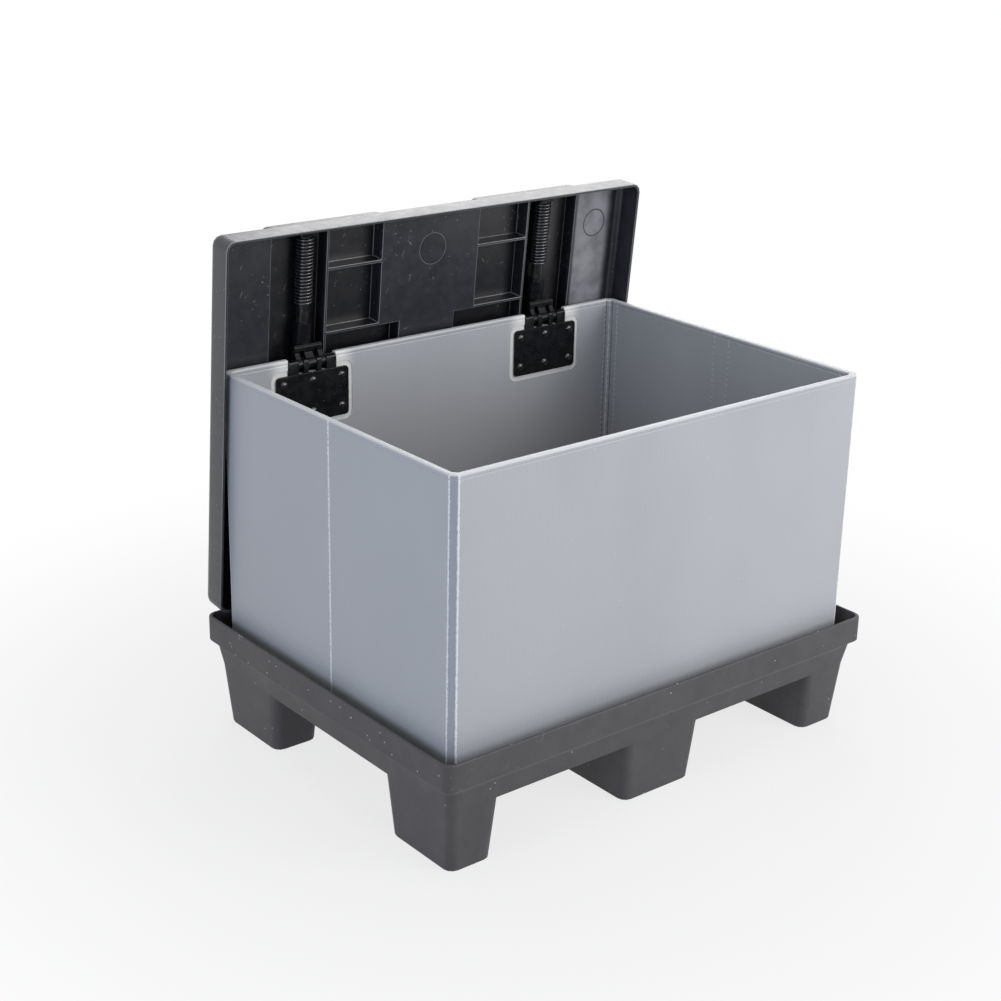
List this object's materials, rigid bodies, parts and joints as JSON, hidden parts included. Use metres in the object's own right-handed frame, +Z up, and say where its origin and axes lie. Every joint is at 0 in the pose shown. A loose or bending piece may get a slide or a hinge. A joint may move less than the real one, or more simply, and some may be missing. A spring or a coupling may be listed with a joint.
{
  "type": "folding pallet box",
  "caption": "Open folding box on a moulded pallet with feet; twin-wall sleeve in the tray; lid slides on spring-loaded guide rods and turns on riveted knuckle hinges.",
  "frame": {"origin": "on the ground, under the middle of the whole open object's box", "axes": "+X along the long front side to the right, +Y to the back where the lid hangs, +Z up"},
  "size_m": [0.8, 0.6454, 0.7577],
  "materials": {
    "pallet_plastic": "grey-black moulded recycled plastic with fine pale specks",
    "sleeve_board": "light grey twin-wall board",
    "lid_plastic": "dark grey moulded plastic, scuffed",
    "hinge_plastic": "black moulded plastic, slight sheen",
    "rivet_black": "black plastic rivets",
    "pin_steel": "plain steel",
    "rod_steel": "black coated steel tube",
    "spring_steel": "dark spring steel with a light sheen",
    "screw_steel": "blackened screws"
  },
  "bodies": {
    "base": {"pallet": "pallet_plastic", "sleeve": "sleeve_board", "hinge_plate_left": "hinge_plastic", "backing_plate_left": "hinge_plastic", "hinge_pin_left": "pin_steel", "rivet_left_1": "rivet_black", "rivet_left_2": "rivet_black", "rivet_left_3": "rivet_black", "rivet_left_4": "rivet_black", "rivet_left_5": "rivet_black", "rivet_left_6": "rivet_black", "hinge_plate_right": "hinge_plastic", "backing_plate_right": "hinge_plastic", "hinge_pin_right": "pin_steel", "rivet_right_1": "rivet_black", "rivet_right_2": "rivet_black", "rivet_right_3": "rivet_black", "rivet_right_4": "rivet_black", "rivet_right_5": "rivet_black", "rivet_right_6": "rivet_black"},
    "carriage": {"slider_left": "hinge_plastic", "slider_right": "hinge_plastic"},
    "lid_body": {"lid": "lid_plastic", "guide_rod_left": "rod_steel", "spring_left": "spring_steel", "rod_block_rear_left": "hinge_plastic", "rod_block_front_left": "hinge_plastic", "screw_rear_left_1": "screw_steel", "screw_rear_left_2": "screw_steel", "screw_front_left_1": "screw_steel", "screw_front_left_2": "screw_steel", "guide_rod_right": "rod_steel", "spring_right": "spring_steel", "rod_block_rear_right": "hinge_plastic", "rod_block_front_right": "hinge_plastic", "screw_rear_right_1": "screw_steel", "screw_rear_right_2": "screw_steel", "screw_front_right_1": "screw_steel", "screw_front_right_2": "screw_steel"}
  },
  "joints": [
    {"name": "lid_turn", "type": "hinge", "parent": "base", "child": "carriage", "pos_m": [0, 0.24562, 0.5466], "axis": [1, 0, 0], "range_deg": [0, 84.7]},
    {"name": "lid_slide", "type": "slide", "parent": "carriage", "child": "lid_body", "axis": [0, -0.0924, 0.9957], "range_m": [0, 0.3557]}
  ],
  "couplings": [
    {"joint": "lid_slide", "follows": "lid_turn", "m_per_rad": 0.24055}
  ]
}
